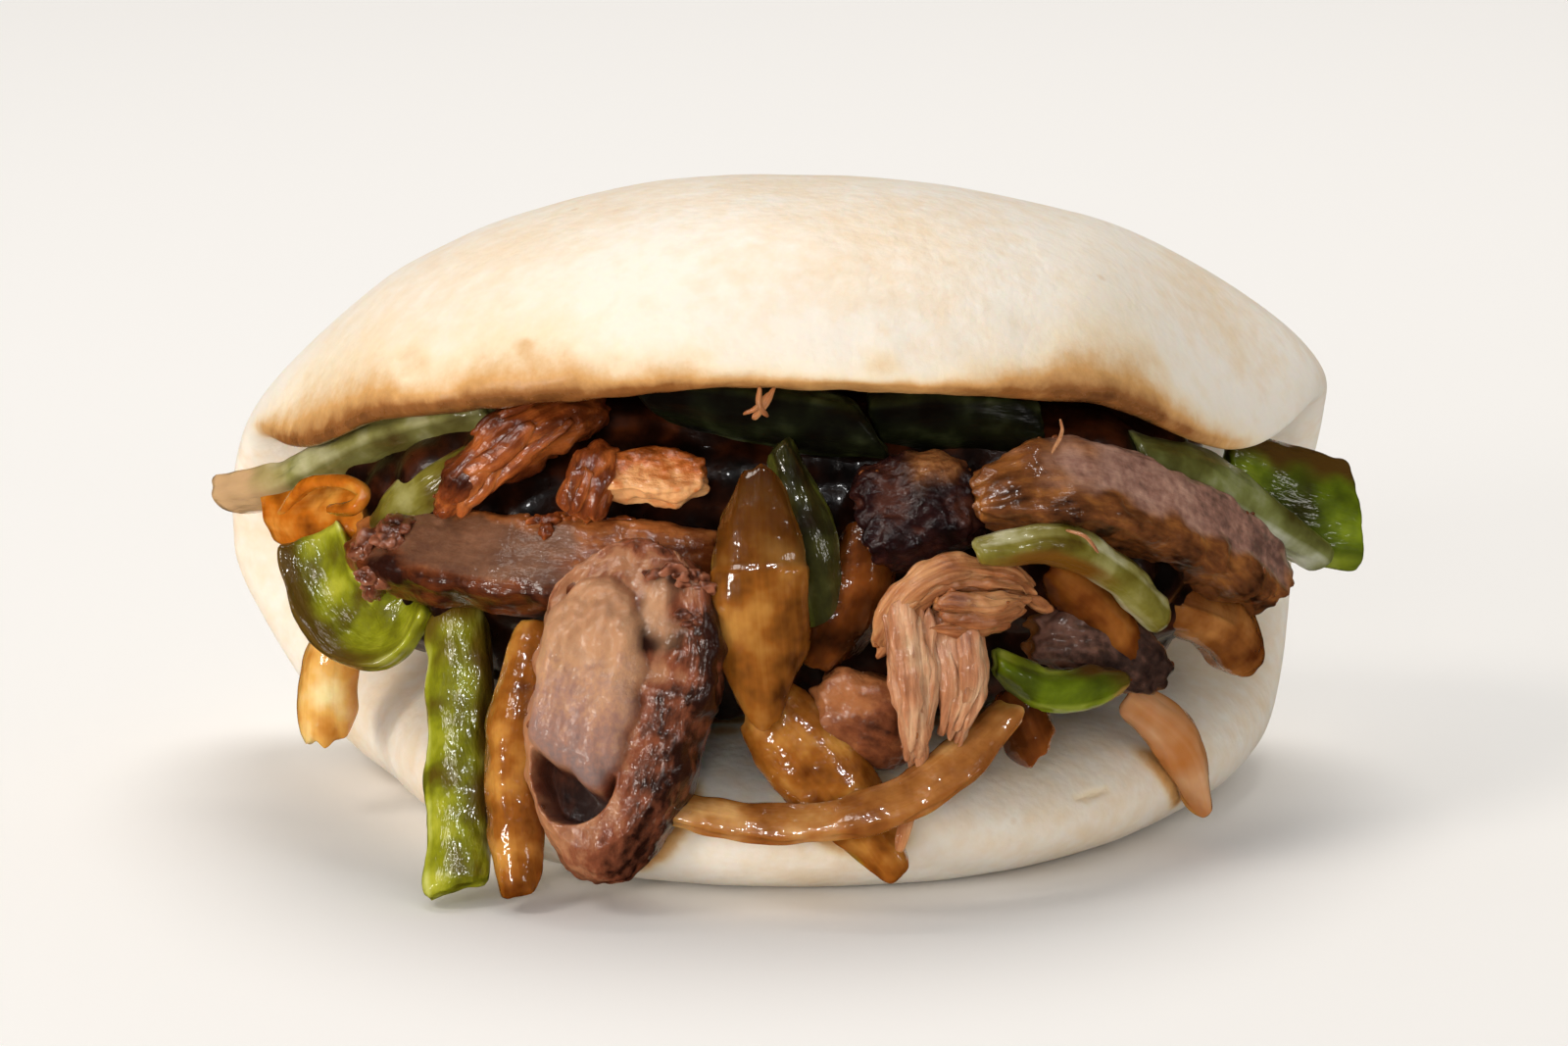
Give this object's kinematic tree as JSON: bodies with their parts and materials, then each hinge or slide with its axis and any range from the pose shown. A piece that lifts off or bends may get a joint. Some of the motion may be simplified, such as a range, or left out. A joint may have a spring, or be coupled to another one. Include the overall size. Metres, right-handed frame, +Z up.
{
  "type": "bao bun",
  "caption": "Folded steamed bun, open at the front, filled with braised meat, green pepper strips and fried onion in dark sauce.",
  "frame": {"origin": "middle of the flat underside, on the surface that the bun rests on", "axes": "+X along the mouth, to the right as seen from the mouth; +Y from the mouth back to the fold; +Z up"},
  "size_m": [0.1204, 0.0787, 0.0675],
  "materials": {
    "steamed_dough": "soft steamed wheat dough, ivory white with a satin skin and sauce stains along the lip",
    "sauced_filling": "chopped meat and onion in dark brown glossy sauce",
    "braised_meat": "fibrous braised meat, brown cut faces and dark glazed skin",
    "green_pepper": "fried green pepper, glossy skin and pale cut edges, tinted by sauce",
    "fried_onion": "translucent amber fried onion with fine lengthwise veins and an oily gloss"
  },
  "bodies": {
    "root": {"bun": "steamed_dough", "meat_roll": "braised_meat", "onion_long_curl": "fried_onion", "onion_front_left": "fried_onion", "pepper_front_left": "green_pepper", "onion_lower_middle": "fried_onion", "meat_shred_hanging": "braised_meat", "onion_petal": "fried_onion", "pepper_middle_right": "green_pepper", "pepper_lower_right": "green_pepper", "meat_shred_upper": "braised_meat", "meat_long_slice": "braised_meat", "meat_right_slab": "braised_meat", "pepper_dark_middle": "green_pepper", "onion_middle_right": "fried_onion", "meat_dark_chunk": "braised_meat", "meat_small_chunk": "braised_meat", "onion_right_hanging": "fried_onion", "onion_lower_right": "fried_onion", "onion_behind_pepper": "fried_onion", "meat_lower_right": "braised_meat", "onion_right_end": "fried_onion", "pepper_right_strip": "green_pepper", "pepper_right_square": "green_pepper", "pepper_left_curl": "green_pepper", "onion_left_hanging": "fried_onion", "onion_left_top": "fried_onion", "pepper_left_middle": "green_pepper", "meat_upper_left": "braised_meat", "meat_pale_flake": "braised_meat", "meat_small_shred": "braised_meat", "pepper_left_lip": "green_pepper", "pepper_under_lip": "green_pepper", "pepper_dark_right": "green_pepper", "filling_bed": "sauced_filling"}
  },
  "joints": []
}
